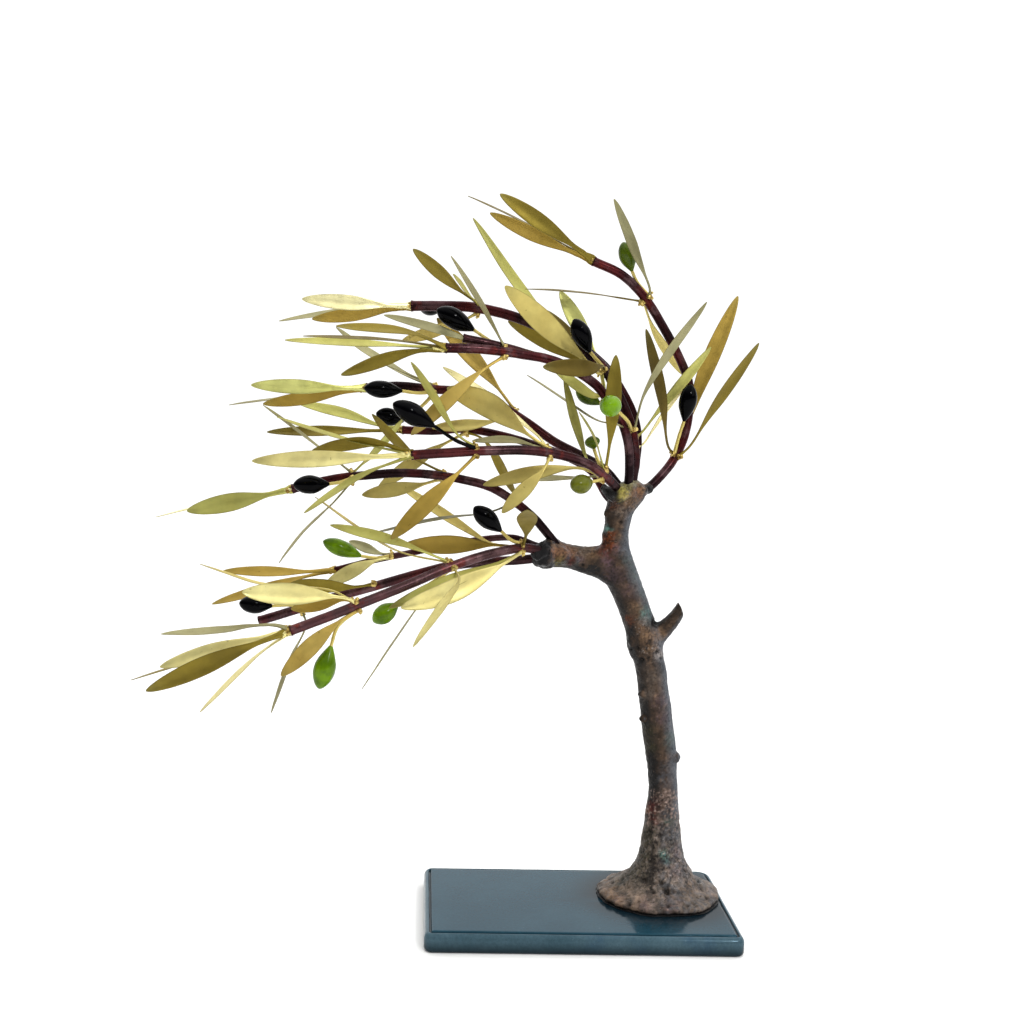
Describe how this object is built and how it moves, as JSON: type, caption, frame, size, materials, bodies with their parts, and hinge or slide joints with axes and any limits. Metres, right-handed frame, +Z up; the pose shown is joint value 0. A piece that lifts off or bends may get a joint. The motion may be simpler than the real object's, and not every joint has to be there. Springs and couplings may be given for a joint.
{
  "type": "windswept olive tree sculpture",
  "caption": "Windswept olive tree made of metal: bronze trunk, copper branches, brass leaves and enamelled olives on a stone slab.",
  "frame": {"origin": "centre of the slab's underside", "axes": "+Z up, +X to the right of the front, away from the side the branches are blown to, +Y to the back"},
  "size_m": [0.3099, 0.1237, 0.3825],
  "materials": {
    "slate": "honed blue-grey slate, satin",
    "bronze": "rough cast bronze with a brown patina, mottled grey-green and rust",
    "copper": "copper tube with a dark maroon patina, satin",
    "brass": "worked brass sheet, satin with brown-gold and olive-grey tints",
    "black_enamel": "glossy black enamel",
    "green_enamel": "glossy olive-green enamel"
  },
  "bodies": {
    "root": {"slab": "slate", "trunk": "bronze", "branch_crown": "copper", "branch_upper": "copper", "branch_upperFront": "copper", "branch_middleFront": "copper", "branch_middle": "copper", "branch_middleBack": "copper", "branch_limbRise": "copper", "branch_lowFront": "copper", "branch_lowMiddle": "copper", "branch_lowBack": "copper", "leaves_crownTip": "brass", "leaves_crownBend": "brass", "leaves_crownFork": "brass", "leaves_upperTip": "brass", "leaves_upperBend": "brass", "leaves_upperCrest": "brass", "leaves_upperFork": "brass", "leaves_frontTip": "brass", "leaves_frontBend": "brass", "leaves_middleFrontTip": "brass", "leaves_middleFrontBend": "brass", "leaves_middleFrontShoulder": "brass", "leaves_middleFrontFork": "brass", "leaves_middleTip": "brass", "leaves_middleBend": "brass", "leaves_middleShoulder": "brass", "leaves_middleBackTip": "brass", "leaves_middleBackBend": "brass", "leaves_limbRiseTip": "brass", "leaves_limbRiseEnd": "brass", "leaves_limbRiseBend": "brass", "leaves_limbRiseShoulder": "brass", "leaves_lowFrontTip": "brass", "leaves_lowFrontEnd": "brass", "leaves_lowFrontBend": "brass", "leaves_lowFrontShoulder": "brass", "leaves_lowMiddleTip": "brass", "leaves_lowMiddleEnd": "brass", "leaves_lowBackTip": "brass", "leaves_lowBackEnd": "brass", "olive_crownGreen": "green_enamel", "olive_crownBlack": "black_enamel", "olive_upperTipBlack": "black_enamel", "olive_upperCrestBlack": "black_enamel", "olive_upperCrestGreen": "green_enamel", "olive_upperForkGreen": "green_enamel", "olive_frontBlack": "black_enamel", "olive_middleFrontBlack": "black_enamel", "olive_middleFrontGreen": "green_enamel", "olive_middleShadeGreen": "green_enamel", "olive_middleTipBlack": "black_enamel", "olive_middleBendBlack": "black_enamel", "olive_limbRiseBlack": "black_enamel", "olive_lowBackGreen": "green_enamel", "olive_lowShoulderBlack": "black_enamel", "olive_lowBendGreen": "green_enamel", "olive_lowEndGreen": "green_enamel", "olive_lowMiddleBlack": "black_enamel"}
  },
  "joints": []
}
